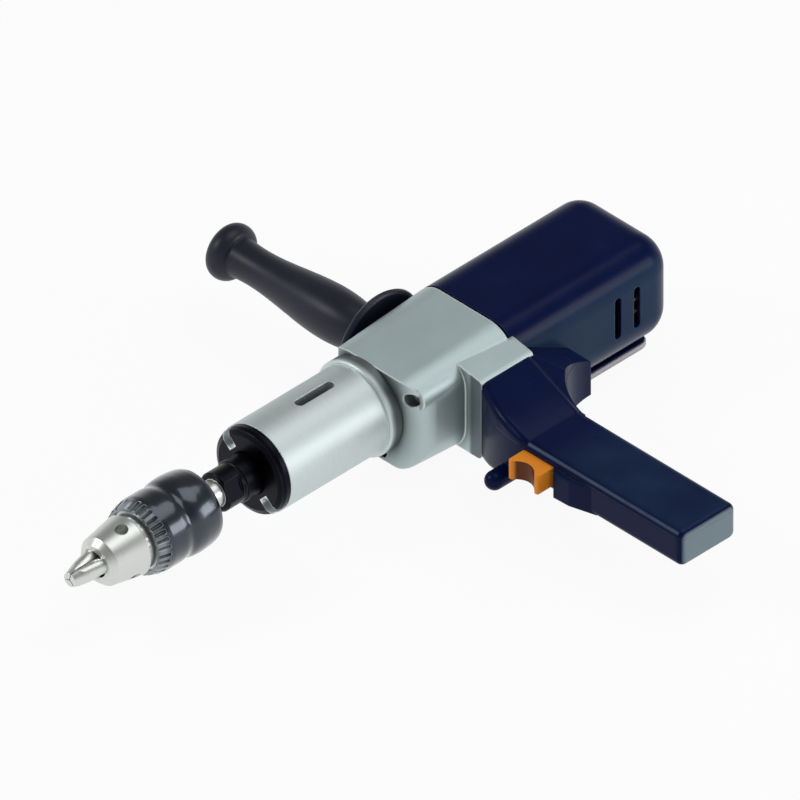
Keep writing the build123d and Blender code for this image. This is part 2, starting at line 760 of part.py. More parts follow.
wedge_start = 0.35
wedge_reach = 15.0
jaw_tip_length = 9.0
for index, angle in enumerate(jaw_angles):
    with BuildPart() as jaw:
        with BuildSketch(jaw_plane(angle, before=2)):
            Circle(jaw_radius)
        extrude(amount=jaw_length + 2)
        turned([
            (0, chuck_tip), (4.4, chuck_tip), (7.4, chuck_tip + jaw_tip_length),
            (2 * wedge_reach, chuck_tip + jaw_tip_length + 1), (2 * wedge_reach, 0), (0, 0),
        ], mode=Mode.INTERSECT)
        with BuildSketch(across(chuck_tip)):
            with Locations(Rotation(0, 0, angle)):
                Polygon((wedge_start, 0), (wedge_reach, -wedge_reach * math.sqrt(3)),
                        (2 * wedge_reach, 0), (wedge_reach, wedge_reach * math.sqrt(3)), align=None)
        extrude(amount=-2 * jaw_length, mode=Mode.INTERSECT)
    finish(jaw.part, f"jaw_{index + 1}")

# Main handle: a web along the motor, a root that narrows from the pad, and the grip
grip_front = handle_y - grip_width / 2
grip_back = handle_y + grip_width / 2
root_end = pad_reach + root_length
root_middle = pad_reach + root_length / 2
web_grip_x = root_end + 3
web_back = grip_back + web_depth
recess_front = grip_front + 1
trigger_x = pad_reach + 58
trigger_right = trigger_x + trigger_width / 2 + free_gap
horn_x = pad_reach + 32
horn_front = grip_front - 16
lip_front = grip_front - 4.5
lip_length_x = 16.0
lip_run_out = 34.0


def handle_section(x, front, back, top, bottom):
    with BuildSketch(Plane.YZ.offset(x)) as section:
        with Locations(((front + back) / 2, (top + bottom) / 2)):
            RectangleRounded(back - front, top - bottom, grip_round)
    return section.sketch


def handle_form(builder):
    with BuildSketch(Plane.XY.offset(web_bottom)) as plan:
        with BuildLine():
            Polyline((web_grip_x - web_length, web_back), (casing_middle, web_back),
                     (casing_middle, handle_y), (web_grip_x, handle_y), (web_grip_x, grip_back))
            EllipticalCenterArc((web_grip_x, web_back), web_length, web_depth, start_angle=180, arc_size=90)
        make_face()
    extrude(plan.sketch, amount=root_top - web_bottom)
    # The web's upper edge falls towards its back end and towards the grip
    with BuildSketch(Plane.YZ) as fall:
        Polygon((handle_y, web_bottom), (web_back, web_bottom), (web_back, web_back_top),
                (pad_back, root_top - 1), (handle_y, root_top - 1), align=None)
    extrude(fall.sketch, amount=2 * web_grip_x, mode=Mode.INTERSECT)
    with BuildSketch(across(handle_y)) as narrowing:
        Polygon((casing_middle, root_top - 1), (casing_middle, web_bottom), (root_middle, web_bottom + 8),
                (root_end, grip_bottom + 2), (web_grip_x, grip_bottom + 2), (web_grip_x, grip_top - 2),
                (root_end, grip_top - 2), (root_middle, root_top - 6), (pad_reach, root_top - 1), align=None)
    extrude(narrowing.sketch, amount=handle_y - web_back, mode=Mode.INTERSECT)
    grip_outline = handle_section(root_end, grip_front, grip_back, grip_top, grip_bottom)
    loft([
        handle_section(pad_reach, pad_front, pad_back, root_top, root_bottom),
        handle_section(root_middle, grip_front + 1.5, grip_back + 3, root_top - 3, root_bottom + 7),
        grip_outline,
    ])
    extrude(grip_outline, amount=grip_end - root_end)
    fillet(builder.edges().group_by(Axis.X)[-1], grip_end_round)
    # Room for the motor and for the pad that the handle is bolted to
    extrude(casing_section(neck_back, 0), amount=neck_back - motor_back, mode=Mode.SUBTRACT)
    with BuildSketch(across(pad_front - 1, casing_middle)) as pad:
        Rectangle(2 * (pad_reach - casing_middle), 2 * casing_height)
    extrude(pad.sketch, amount=-(pad_length + 1), mode=Mode.SUBTRACT)


handle_screw_places = [
    (grip_end - 82, handle_y + 12),
    (grip_end - 18, handle_y),
    (pad_reach + 28, handle_y + 8),
]
screw_radius = 1.8
screw_head_radius = 3.4
screw_post_radius = 4.0
screw_seat = grip_bottom + 3
screw_reach = 2.6
switch_floor = grip_bottom + handle_wall
hollow_front = recess_front + 4.5
hollow_back = grip_back - handle_wall
hollow_start = pad_reach + 14
hollow_end = grip_end - handle_wall

with BuildPart() as handle_shell:
    handle_form(handle_shell)
    # A rounded horn guards the finger before the trigger, and a low lip behind it
    with BuildSketch(Plane.XY.offset(horn_z)):
        with BuildLine():
            Polyline((horn_x, horn_front), (horn_x, handle_y), (horn_x + horn_radius, handle_y),
                     (horn_x + horn_radius, horn_front + horn_radius))
            RadiusArc((horn_x + horn_radius, horn_front + horn_radius), (horn_x, horn_front), horn_radius)
        make_face()
    revolve(axis=Axis((horn_x, 0, horn_z), (0, 1, 0)))
    with BuildSketch(Plane.XY.offset(grip_bottom + 1.5)):
        Polygon((trigger_right + 2, handle_y), (trigger_right + 2, lip_front + 2),
                (trigger_right + 4, lip_front), (trigger_right + lip_length_x, lip_front + 0.5),
                (trigger_right + lip_run_out, grip_front + 1), (trigger_right + lip_run_out, handle_y),
                align=None)
    extrude(amount=seam_height - grip_bottom - 3)
    with BuildSketch(Plane.XY.offset(seam_height)):
        with Locations((grip_end / 2, handle_y)):
            Rectangle(2 * grip_end, 2 * grip_end)
    extrude(amount=2 * root_top, mode=Mode.SUBTRACT)
    # The hollow that takes the switch
    with BuildSketch(Plane.XY.offset(switch_floor)):
        with Locations(((hollow_start + hollow_end) / 2, (hollow_front + hollow_back) / 2)):
            RectangleRounded(hollow_end - hollow_start, hollow_back - hollow_front, 4)
    extrude(amount=2 * grip_top, mode=Mode.SUBTRACT)
    with BuildSketch(across(horn_front, trigger_x, trigger_z)):
        Rectangle(trigger_width + 2 * free_gap, trigger_height + 2 * free_gap)
    extrude(amount=horn_front - hollow_front - 1, mode=Mode.SUBTRACT)
    for x, y in handle_screw_places:
        post(screw_post_radius, x, y, switch_floor - 0.5, seam_height)
        post(screw_head_radius, x, y, root_bottom - 1, screw_seat, Mode.SUBTRACT)
        post(screw_radius, x, y, screw_seat, seam_height, Mode.SUBTRACT)
finish(handle_shell.part, "handle_shell")

with BuildPart() as handle_cover:
    handle_form(handle_cover)
    with BuildSketch(Plane.XY.offset(seam_height)):
        with Locations((grip_end / 2, handle_y)):
            Rectangle(2 * grip_end, 2 * grip_end)
    extrude(amount=-2 * grip_end, mode=Mode.SUBTRACT)
    for x, y in handle_screw_places:
        post(screw_radius, x, y, seam_height, seam_height + screw_reach, Mode.SUBTRACT)
finish(handle_cover.part, "handle_cover")

screw_head_length = 2.4
with BuildPart() as handle_screws:
    for x, y in handle_screw_places:
        post(screw_head_radius - seat_gap, x, y, screw_seat - screw_head_length, screw_seat)
        post(screw_radius - seat_gap, x, y, screw_seat, seam_height + screw_reach - seat_gap)
finish(handle_screws.part, "handle_screws")

# Trigger, and the switch that it pushes into
flange_depth = 2.6
flange_margin = 2.0
flange_start = hollow_front + free_gap
switch_front = flange_start + flange_depth + trigger_travel + free_gap
stem_radius = 3.0
stem_length = 5.0
finger_radius = 16.0
finger_depth = 3.0
trigger_front = recess_front - trigger_reach
with BuildPart() as trigger:
    with BuildSketch(Plane.XY.offset(trigger_z - trigger_height / 2)):
        with Locations((trigger_x, (trigger_front + flange_start) / 2)):
            Rectangle(trigger_width, flange_start - trigger_front)
        with Locations((trigger_x, trigger_front - finger_radius + finger_depth)):
            Circle(finger_radius, mode=Mode.SUBTRACT)
    extrude(amount=trigger_height)
    fillet(trigger.edges().filter_by(Axis.Z).group_by(Axis.Y)[0], 1.2)
    with BuildSketch(across(flange_start, trigger_x, trigger_z)):
        Rectangle(trigger_width + 2 * flange_margin, trigger_height)
    extrude(amount=-flange_depth)
    stem_end = flange_start + flange_depth + trigger_travel + stem_length
    rod(stem_radius, flange_start, stem_end, trigger_x, trigger_z)
finish(trigger.part, "trigger")

switch_length = 36.0
with BuildPart() as switch_body:
    switch_back = hollow_back - free_gap
    with BuildSketch(Plane.XY.offset(switch_floor)):
        with Locations((trigger_x, (switch_front + switch_back) / 2)):
            RectangleRounded(switch_length, switch_back - switch_front, 1.5)
    extrude(amount=seam_height - switch_floor - free_gap)
    rod(stem_radius + free_gap, switch_front - 1, switch_front + stem_length + trigger_travel + 1,
        trigger_x, trigger_z, mode=Mode.SUBTRACT)
finish(switch_body.part, "switch_body")

# Side handle: a turned grip with a guard and a flared end, on a threaded stud
guard_face = side_boss_end
side_grip_end = guard_face - side_handle_length
stud_outer_end = stud_inner_end - stud_length
with BuildPart() as side_handle:
    with BuildSketch(across(handle_y)):
        with BuildLine():
            Polyline((side_grip_end + 5, 0), (guard_face, 0), (guard_face, guard_radius - 2),
                     (guard_face - 1, guard_radius - 0.5), (guard_face - 2.5, guard_radius),
                     (guard_face - 4, guard_radius - 1), (guard_face - 5, guard_radius - 4),
                     (guard_face - 8, 15), (guard_face - 12, 12.6))
            Spline((guard_face - 12, 12.6), (side_grip_end + 65, 14.8), (side_grip_end + 23, 11.6),
                   (side_grip_end + 14, 12.4))
            Spline((side_grip_end + 14, 12.4), (side_grip_end + 8, 17.6), (side_grip_end + 3, 17),
                   (side_grip_end, 9))
            Polyline((side_grip_end, 9), (side_grip_end, 0), (side_grip_end + 5, 0))
        make_face()
    revolve(axis=side_axis)
    side_rod(stud_radius + seat_gap, stud_outer_end, guard_face, Mode.SUBTRACT)
finish(side_handle.part, "side_handle")

with BuildPart() as side_stud:
    side_rod(stud_radius, stud_outer_end, stud_inner_end)
finish(side_stud.part, "side_handle_stud")
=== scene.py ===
import json
import math

import bmesh
import bpy
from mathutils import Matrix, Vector


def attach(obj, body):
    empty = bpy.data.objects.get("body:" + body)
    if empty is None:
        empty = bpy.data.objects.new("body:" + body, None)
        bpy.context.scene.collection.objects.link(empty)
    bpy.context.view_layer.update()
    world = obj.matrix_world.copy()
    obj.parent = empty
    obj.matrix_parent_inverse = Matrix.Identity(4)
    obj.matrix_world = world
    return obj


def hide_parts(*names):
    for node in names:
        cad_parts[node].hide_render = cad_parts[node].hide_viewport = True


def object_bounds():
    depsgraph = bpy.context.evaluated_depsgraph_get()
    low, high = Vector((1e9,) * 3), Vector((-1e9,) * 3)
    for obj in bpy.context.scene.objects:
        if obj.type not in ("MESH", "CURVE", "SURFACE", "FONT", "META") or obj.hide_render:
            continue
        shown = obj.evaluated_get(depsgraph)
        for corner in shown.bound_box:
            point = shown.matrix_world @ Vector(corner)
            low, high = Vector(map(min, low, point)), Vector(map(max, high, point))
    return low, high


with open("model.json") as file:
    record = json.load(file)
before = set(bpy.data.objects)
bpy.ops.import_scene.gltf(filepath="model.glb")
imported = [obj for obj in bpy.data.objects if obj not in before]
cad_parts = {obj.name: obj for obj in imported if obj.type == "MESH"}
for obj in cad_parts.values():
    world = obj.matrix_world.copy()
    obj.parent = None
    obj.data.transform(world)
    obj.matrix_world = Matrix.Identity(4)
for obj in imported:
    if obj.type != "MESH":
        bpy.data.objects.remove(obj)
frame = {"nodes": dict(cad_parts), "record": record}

nodes = frame["nodes"]
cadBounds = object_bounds()  # the CAD box, before anything is added
mergeDistance = 1e-6  # metres: points closer than this are one
print("frame loaded:", len(nodes), "nodes")


def linearColour(hexText):
    channels = [int(hexText[place:place + 2], 16) / 255 for place in (1, 3, 5)]
    return tuple(c / 12.92 if c <= 0.04045 else ((c + 0.055) / 1.055) ** 2.4 for c in channels) + (1.0,)


def addNode(tree, kind, inputs=None, links=None, **settings):
    node = tree.nodes.new(kind)
    for name, value in settings.items():
        setattr(node, name, value)
    for name, value in (inputs or {}).items():
        node.inputs[name].default_value = value
    for name, sockets in (links or {}).items():
        for socket in sockets if isinstance(sockets, list) else [sockets]:
            tree.links.new(socket, node.inputs[name])
    return node


def perMetre(millimetres):
    return 1000 / millimetres  # texture scale for a pattern of that size


def startMaterial(name, **shaderInputs):
    material = bpy.data.materials.new(name)
    material.use_nodes = True
    tree = material.node_tree
    shader = tree.nodes["Principled BSDF"]
    for socket, value in shaderInputs.items():
        shader.inputs[socket.replace("_", " ")].default_value = value
    place = addNode(tree, "ShaderNodeTexCoord").outputs["Object"]
    return material, tree, shader, place


# What all finishes share: how far the normal turns between an open face and a worn edge, and the heights of the bump
surface = {"openFace": 0.995, "wornEdge": 0.90, "edgeSamples": 6, "hollowSamples": 8,
           "gritHeight": 0.0002, "ringHeight": 0.0001}


def edgeMask(tree, width, strength):
    # 0 on open faces, up to strength where an edge is near
    rounded = addNode(tree, "ShaderNodeBevel", {"Radius": width}, samples=surface["edgeSamples"])
    flat = addNode(tree, "ShaderNodeNewGeometry")
    facing = addNode(tree, "ShaderNodeVectorMath",
                     links={0: rounded.outputs["Normal"], 1: flat.outputs["Normal"]}, operation="DOT_PRODUCT")
    mask = addNode(tree, "ShaderNodeMapRange",
                   {"From Min": surface["openFace"], "From Max": surface["wornEdge"], "To Max": strength},
                   {"Value": facing.outputs["Value"]})
    return mask.outputs["Result"], rounded.outputs["Normal"]


def finishSurface(tree, shader, s, tone, relief, height, paintShade=None):
    # Two tones, any painted shade laid on them, and rubbed edges over that, with roughness by tone and bump by relief
    body = addNode(tree, "ShaderNodeMix", {6: linearColour(s["deep"]), 7: linearColour(s["pale"])}, {0: tone},
                   data_type="RGBA").outputs[2]
    if paintShade:
        body = paintShade(tree, body)
    worn, rounded = edgeMask(tree, s["edgeWidth"], s["edgeWear"])
    colour = addNode(tree, "ShaderNodeMix", {7: linearColour(s["edge"])}, {0: worn, 6: body}, data_type="RGBA")
    rough = addNode(tree, "ShaderNodeMapRange", {"To Min": s["rough"][0], "To Max": s["rough"][1]}, {"Value": tone})
    bump = addNode(tree, "ShaderNodeBump", {"Strength": s["depth"], "Distance": height},
                   {"Height": relief, "Normal": rounded})
    tree.links.new(colour.outputs[2], shader.inputs["Base Color"])
    tree.links.new(rough.outputs["Result"], shader.inputs["Roughness"])
    tree.links.new(bump.outputs["Normal"], shader.inputs["Normal"])


# Cast and moulded finishes: the grit is drawn coarser than it is, at 0.4 to 0.9 mm, so that it shows
def makeFromMould(name, s, paintShade=None, **shaderInputs):
    material, tree, shader, place = startMaterial(name, **shaderInputs)
    cloud = addNode(tree, "ShaderNodeTexNoise", {"Scale": perMetre(s["cloud"]), "Detail": 3}, {"Vector": place})
    grit = addNode(tree, "ShaderNodeTexNoise", {"Scale": perMetre(s["grit"]), "Detail": 2}, {"Vector": place})
    finishSurface(tree, shader, s, cloud.outputs["Fac"], grit.outputs["Fac"], surface["gritHeight"], paintShade)
    return material


# Die-cast aluminium, bead blasted: pale satin grey with fine grit, edges rubbed bright and painted paler still as a
# painted highlight, and painted shade darkening the corners
castAluminium = {
    "deep": "#bdcccd", "pale": "#cad9da", "edge": "#edf3f3", "grit": 0.9, "cloud": 22,
    "edgeWidth": 0.0018, "edgeWear": 0.9, "rough": (0.54, 0.64), "depth": 0.18,
    "cornerShade": "#3f4746", "shadeReach": 0.016, "openCorner": 0.85, "deepCorner": 0.40, "shadeAmount": 0.8,
}


# Painted shade: darkens the colour where ambient occlusion finds a corner, standing in for the shadow there
def settleCornerShade(tree, under):
    s = castAluminium
    hidden = addNode(tree, "ShaderNodeAmbientOcclusion", {"Distance": s["shadeReach"]},
                     samples=surface["hollowSamples"])
    shadeShare = addNode(tree, "ShaderNodeMapRange",
                      {"From Min": s["openCorner"], "From Max": s["deepCorner"], "To Max": s["shadeAmount"]},
                      {"Value": hidden.outputs["AO"]})
    shaded = addNode(tree, "ShaderNodeMix", {7: linearColour(s["cornerShade"])}, {0: shadeShare.outputs["Result"], 6: under},
                     data_type="RGBA")
    return shaded.outputs[2]


def makeCastAluminium(name):
    return makeFromMould(name, castAluminium, settleCornerShade, Metallic=1.0)


# Glass-filled polyamide, moulded: satin, with the fine spark texture of the mould
navyPolyamide = {"deep": "#040f33", "pale": "#0a1946", "edge": "#2c3a5e", "grit": 0.7, "cloud": 30,
                 "edgeWidth": 0.0012, "edgeWear": 0.35, "rough": (0.22, 0.30), "depth": 0.10, "gloss": 0.07}
blackPolyamide = {"deep": "#101322", "pale": "#1b1f34", "edge": "#3a3e52", "grit": 0.8, "cloud": 14,
                  "edgeWidth": 0.0010, "edgeWear": 0.25, "rough": (0.36, 0.48), "depth": 0.14, "gloss": 0.32}
# Acetal, moulded: bright and waxy, a little paler on its edges
orangeAcetal = {"deep": "#f28a1e", "pale": "#f89f36", "edge": "#f3aa5a", "grit": 0.6, "cloud": 9,
                "edgeWidth": 0.0008, "edgeWear": 0.4, "rough": (0.30, 0.40), "depth": 0.06, "gloss": 0.15}
# Brush carbon, pressed: black and matt
brushCarbon = {"deep": "#141414", "pale": "#232323", "edge": "#343434", "grit": 0.4, "cloud": 3,
               "edgeWidth": 0.0003, "edgeWear": 0.4, "rough": (0.5, 0.6), "depth": 0.1, "gloss": 0.3}
# Grey elastomer bumper, moulded: dull and even, rubbed paler on its edges
greyElastomer = {"deep": "#b5afb5", "pale": "#c9c3c9", "edge": "#d9d5d9", "grit": 0.6, "cloud": 12,
                 "edgeWidth": 0.0006, "edgeWear": 0.4, "rough": (0.6, 0.7), "depth": 0.1, "gloss": 0.3}


def makeMoulded(name, s):
    return makeFromMould(name, s, IOR=1.53, Specular_IOR_Level=s["gloss"])


# Metal turned on a lathe: fine rings round the axis draw the highlights out, edges catch the light
# The rings are drawn coarser than a tool leaves them, so that they show
ringRun = 50 / 3  # millimetres across the axis over which a ring keeps its tone
turnedAluminium = {"deep": "#c8d2d2", "pale": "#d6e0e0", "edge": "#e6eded", "ringSpacing": 0.8,
                   "rough": (0.50, 0.58), "depth": 0.10, "edgeWidth": 0.0008, "edgeWear": 0.6}
# Ground steel: bright, with a clear soft shine
groundSteel = {"deep": "#cfd2ce", "pale": "#dcdfdb", "edge": "#ecedea", "ringSpacing": 0.5,
               "rough": (0.34, 0.42), "depth": 0.03, "edgeWidth": 0.0004, "edgeWear": 0.6}
# Cut gear steel: middle grey, with a short shine on each tooth
gearSteel = {"deep": "#77787a", "pale": "#8f8f90", "edge": "#b9b9ba", "ringSpacing": 0.9,
             "rough": (0.28, 0.38), "depth": 0.08, "edgeWidth": 0.0003, "edgeWear": 0.6}
# Bearing steel, polished: nearly a mirror
bearingSteel = {"deep": "#b3b6ba", "pale": "#c6c8cb", "edge": "#dfe1e3", "ringSpacing": 0.6,
                "rough": (0.12, 0.20), "depth": 0.04, "edgeWidth": 0.0004, "edgeWear": 0.4}
# Bronze, sintered: brown gold with a low shine
sinteredBronze = {"deep": "#94713b", "pale": "#b58b4d", "edge": "#cfa768", "ringSpacing": 1.0,
                  "rough": (0.35, 0.45), "depth": 0.10, "edgeWidth": 0.0004, "edgeWear": 0.4}
# Copper wire, enamelled and wound: red brown, with a gloss that follows the turns
enamelledCopper = {"deep": "#94502a", "pale": "#c0703f", "edge": "#d08a58", "ringSpacing": 0.8,
                   "rough": (0.25, 0.40), "depth": 0.20, "edgeWidth": 0.0004, "edgeWear": 0.2}
# Steel sheets, stacked: grey, with dark lines between the sheets
laminatedSteel = {"deep": "#4c4d50", "pale": "#77787a", "edge": "#98999b", "ringSpacing": 0.5,
                  "rough": (0.35, 0.50), "depth": 0.30, "edgeWidth": 0.0004, "edgeWear": 0.4}
# Steel browned and oiled: near black, the oil gives a small hard glint, worn through on the teeth, which also carry
# painted glints
graphiteSteel = {"deep": "#262d39", "pale": "#2f3744", "edge": "#b7bec4", "ringSpacing": 0.5,
                 "rough": (0.26, 0.32), "depth": 0.03, "edgeWidth": 0.0007, "edgeWear": 0.7}
oilFilm = {"Coat_Weight": 1.0, "Coat_Roughness": 0.15}
# Steel blackened after turning: black satin, greyer on its edges
blackenedSteel = {"deep": "#121319", "pale": "#1a1b22", "edge": "#5a5c63", "ringSpacing": 0.9,
                  "rough": (0.30, 0.42), "depth": 0.08, "edgeWidth": 0.0006, "edgeWear": 0.5}


def makeTurnedMetal(name, s, **shaderInputs):
    material, tree, shader, place = startMaterial(name, Metallic=1.0, **shaderInputs)
    across = perMetre(ringRun)
    along = addNode(tree, "ShaderNodeMapping", {"Scale": (across, perMetre(s["ringSpacing"]), across)},
                    {"Vector": place})
    rings = addNode(tree, "ShaderNodeTexNoise", {"Scale": 1.0, "Detail": 2}, {"Vector": along.outputs["Vector"]})
    finishSurface(tree, shader, s, rings.outputs["Fac"], rings.outputs["Fac"], surface["ringHeight"])
    return material


# Wear, painted sheen, painted highlights and painted shade: each mask gives a list of shares, and a colour lies where
# all of them are high
frontWay = (0.0, -1.0, 0.0)
upWay = (0.0, 0.0, 1.0)


def layOver(material, *layers):
    # Lays each colour in turn over a finish, as far as its mask allows
    tree = material.node_tree
    baseColour = tree.nodes["Principled BSDF"].inputs["Base Color"]
    place = addNode(tree, "ShaderNodeTexCoord").outputs["Object"]
    for makeMask, hexText in layers:
        share, *others = makeMask(tree, place)
        for other in others:
            share = addNode(tree, "ShaderNodeMath", links={0: share, 1: other}, operation="MULTIPLY").outputs[0]
        under = baseColour.links[0].from_socket
        colour = addNode(tree, "ShaderNodeMix", {7: linearColour(hexText)}, {0: share, 6: under}, data_type="RGBA")
        tree.links.new(colour.outputs[2], baseColour)
    return material


def shareAlong(tree, vector, axis, limits, amount=1.0, **settings):
    # 0 at the first limit of one coordinate, amount at the second
    parts = addNode(tree, "ShaderNodeSeparateXYZ", links={0: vector})
    share = addNode(tree, "ShaderNodeMapRange", {"From Min": limits[0], "From Max": limits[1], "To Max": amount},
                    {"Value": parts.outputs[axis]}, **settings)
    return share.outputs["Result"]


def shareFacing(tree, way, limits, amount=1.0, **settings):
    # amount where the surface faces that way, 0 where it turns from it, by the cosine
    normal = addNode(tree, "ShaderNodeNewGeometry").outputs["Normal"]
    facing = addNode(tree, "ShaderNodeVectorMath", {1: way}, {0: normal}, operation="DOT_PRODUCT")
    share = addNode(tree, "ShaderNodeMapRange", {"From Min": limits[0], "From Max": limits[1], "To Max": amount},
                    {"Value": facing.outputs["Value"]}, **settings)
    return share.outputs["Result"]


def shareInPatches(tree, place, s, least):
    # Uneven, between least and 1
    cloud = addNode(tree, "ShaderNodeTexNoise", {"Scale": perMetre(s["patch"]), "Detail": s["patchDetail"]},
                    {"Vector": place})
    share = addNode(tree, "ShaderNodeMapRange",
                    {"From Min": s["patchLimits"][0], "From Max": s["patchLimits"][1], "To Min": least},
                    {"Value": cloud.outputs["Fac"]})
    return share.outputs["Result"]


# The front ring's spanner notches are painted pale inside: bare metal, brightened as painted light where their walls
# lie in shade
ringNotch = {"angle": 137.0, "halfWidth": 0.0037, "bottom": 0.0166, "bare": "#d5dadb"}


def notchLightMask(tree, place):
    s = ringNotch
    turn = math.radians(s["angle"])
    outward = (math.cos(turn), 0.0, math.sin(turn))
    sideways = (-math.sin(turn), 0.0, math.cos(turn))
    shares = []
    for way, limit, test in ((outward, s["bottom"], "GREATER_THAN"), (sideways, s["halfWidth"], "LESS_THAN")):
        offset = addNode(tree, "ShaderNodeVectorMath", {1: way}, {0: place}, operation="DOT_PRODUCT")
        distance = addNode(tree, "ShaderNodeMath", links={0: offset.outputs["Value"]}, operation="ABSOLUTE")
        inside = addNode(tree, "ShaderNodeMath", {1: limit}, {0: distance.outputs[0]}, operation=test)
        shares.append(inside.outputs[0])
    return shares


# The key wears the sleeve's teeth down to grey metal, most at their outer ends; the open faces get it as painted
# glints, the shaded gaps stay dark
sleeveTeeth = {"rootToTip": (-0.0930, -0.0965), "worn": "#8d959b", "amount": 0.75, "gap": 0.002,
               "openLimits": (0.45, 0.8)}


def toothWearGlintMask(tree, place):
    s = sleeveTeeth
    near = shareAlong(tree, place, "Y", s["rootToTip"], s["amount"])
    bare = addNode(tree, "ShaderNodeAmbientOcclusion", {"Distance": s["gap"]}, samples=surface["hollowSamples"])
    paleSheen = addNode(tree, "ShaderNodeMapRange",
                     {"From Min": s["openLimits"][0], "From Max": s["openLimits"][1]}, {"Value": bare.outputs["AO"]})
    return [near, paleSheen.outputs["Result"]]


# Painted shade darkens the neck's shoulder where it meets the gear housing, the housing's front round the flange, and
# the front of the handle pad
shoulderShade = {"neckLimits": (0.0790, 0.0840), "amount": 0.84, "colour": "#475150",
                 "fadeRadius": 0.047, "flangeRadius": 0.031, "frontAmount": 0.6, "facing": (0.5, 0.9),
                 "padLimits": (0.0475, 0.0500), "padAmount": 0.72, "padColour": "#3a414d"}


def neckShoulderShadeMask(tree, place):
    s = shoulderShade
    return [shareAlong(tree, place, "Y", s["neckLimits"], s["amount"], interpolation_type="SMOOTHSTEP")]


def flangeShadeMask(tree, place):
    s = shoulderShade
    flat = addNode(tree, "ShaderNodeVectorMath", {1: (1.0, 0.0, 1.0)}, {0: place}, operation="MULTIPLY")
    radius = addNode(tree, "ShaderNodeVectorMath", links={0: flat.outputs[0]}, operation="LENGTH")
    near = addNode(tree, "ShaderNodeMapRange",
                   {"From Min": s["fadeRadius"], "From Max": s["flangeRadius"], "To Max": s["frontAmount"]},
                   {"Value": radius.outputs["Value"]})
    return [near.outputs["Result"], shareFacing(tree, frontWay, s["facing"])]


def padFrontShadeMask(tree, place):
    s = shoulderShade
    return [shareAlong(tree, place, "X", s["padLimits"], s["padAmount"]), shareFacing(tree, frontWay, s["facing"])]


# The trigger's hollow is deepened below, and painted dark as painted shade, most at its deepest
triggerHollow = {"deepen": 0.0022, "middle": 0.116, "halfWidth": 0.0094, "behind": 0.1045,
                 "shadeLimits": (0.1010, 0.1030), "facing": (0.05, 0.3), "hollowShade": "#45190a", "amount": 0.92}


def hollowShadeMask(tree, place):
    s = triggerHollow
    return [shareAlong(tree, place, "Y", s["shadeLimits"], s["amount"], interpolation_type="SMOOTHSTEP"),
            shareFacing(tree, frontWay, s["facing"])]


# The grip's end is painted pale slate as a painted reflection of the bright ground, and its top front edge carries a
# painted highlight line
gripSheen = {"endLimits": (0.2306, 0.2318), "paleSheen": "#82929b", "amount": 0.9,
            "edgeWay": (0.0, -0.7071, 0.7071), "edgeFacing": (0.96, 0.995), "edgeLimits": (0.088, 0.106),
            "edgeHighlight": "#4a5b74", "edgeAmount": 0.6,
            "patch": 18, "patchDetail": 2, "patchLimits": (0.25, 0.6), "leastHighlight": 0.55}


def gripEndSheenMask(tree, place):
    s = gripSheen
    return [shareAlong(tree, place, "X", s["endLimits"], s["amount"])]


def gripEdgeHighlightMask(tree, place):
    s = gripSheen
    return [shareFacing(tree, s["edgeWay"], s["edgeFacing"], s["edgeAmount"], interpolation_type="SMOOTHSTEP"),
            shareInPatches(tree, place, s, s["leastHighlight"]), shareAlong(tree, place, "X", s["edgeLimits"])]


# A patchy painted sheen turns the motor's flat sides and the top of the grip to slate, standing in for reflected light
slateSheen = {"slate": "#3d5c73", "sideAmount": 0.30, "sideFacing": (0.75, 0.98), "leastOnSide": 0.7,
            "gripAmount": 0.22, "gripLimits": (0.118, 0.150), "topFacing": (0.8, 0.98), "leastOnGrip": 0.35,
            "patch": 40, "patchDetail": 3, "patchLimits": (0.3, 0.65)}


def sideSheenMask(tree, place):
    s = slateSheen
    normal = addNode(tree, "ShaderNodeNewGeometry").outputs["Normal"]
    eitherWay = addNode(tree, "ShaderNodeVectorMath", links={0: normal}, operation="ABSOLUTE").outputs[0]
    return [shareAlong(tree, eitherWay, "X", s["sideFacing"], s["sideAmount"]),
            shareInPatches(tree, place, s, s["leastOnSide"])]


def gripTopSheenMask(tree, place):
    s = slateSheen
    return [shareAlong(tree, place, "X", s["gripLimits"], s["gripAmount"]),
            shareFacing(tree, upWay, s["topFacing"]), shareInPatches(tree, place, s, s["leastOnGrip"])]


finishes = {
    "cast_aluminium": makeCastAluminium("castAluminium"),
    "turned_aluminium": makeTurnedMetal("turnedAluminium", turnedAluminium),
    "navy_plastic": makeMoulded("navyPolyamide", navyPolyamide),
    "black_plastic": makeMoulded("blackPolyamide", blackPolyamide),
    "orange_plastic": makeMoulded("orangeAcetal", orangeAcetal),
    "black_steel": makeTurnedMetal("blackenedSteel", blackenedSteel),
    "sleeve_steel": makeTurnedMetal("graphiteSteel", graphiteSteel, **oilFilm),
    "bright_steel": makeTurnedMetal("groundSteel", groundSteel),
    "gear_steel": makeTurnedMetal("gearSteel", gearSteel),
    "bearing_steel": makeTurnedMetal("bearingSteel", bearingSteel),
    "bronze": makeTurnedMetal("sinteredBronze", sinteredBronze),
    "copper": makeTurnedMetal("enamelledCopper", enamelledCopper),
    "core_steel": makeTurnedMetal("laminatedSteel", laminatedSteel),
    "carbon": makeMoulded("brushCarbon", brushCarbon),
}
